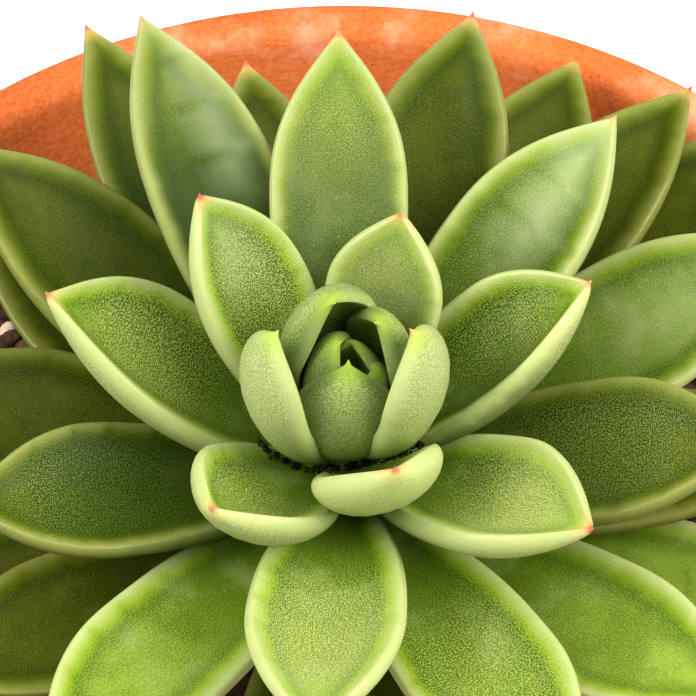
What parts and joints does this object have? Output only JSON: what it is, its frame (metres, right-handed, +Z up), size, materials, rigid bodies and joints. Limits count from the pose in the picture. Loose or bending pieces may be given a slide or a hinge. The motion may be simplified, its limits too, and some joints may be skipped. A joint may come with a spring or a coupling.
{
  "type": "potted miranda echeveria",
  "caption": "Succulent with a dense spiral rosette of thick spoon-shaped leaves on a short stem, growing in gritty soil in a plain tapered clay pot.",
  "frame": {"origin": "centre of the pot's flat base", "axes": "+Z up along the pot's axis; +Y points away from the pictured side, +X to its right"},
  "size_m": [0.154, 0.154, 0.1605],
  "materials": {
    "terracotta": "matte",
    "soil": "matte",
    "bark": "matte",
    "leaf": "satin",
    "grit": "matte"
  },
  "bodies": {
    "root": {"pot": "terracotta", "soil": "soil", "stem": "bark", "rosette": "leaf"}
  },
  "joints": []
}
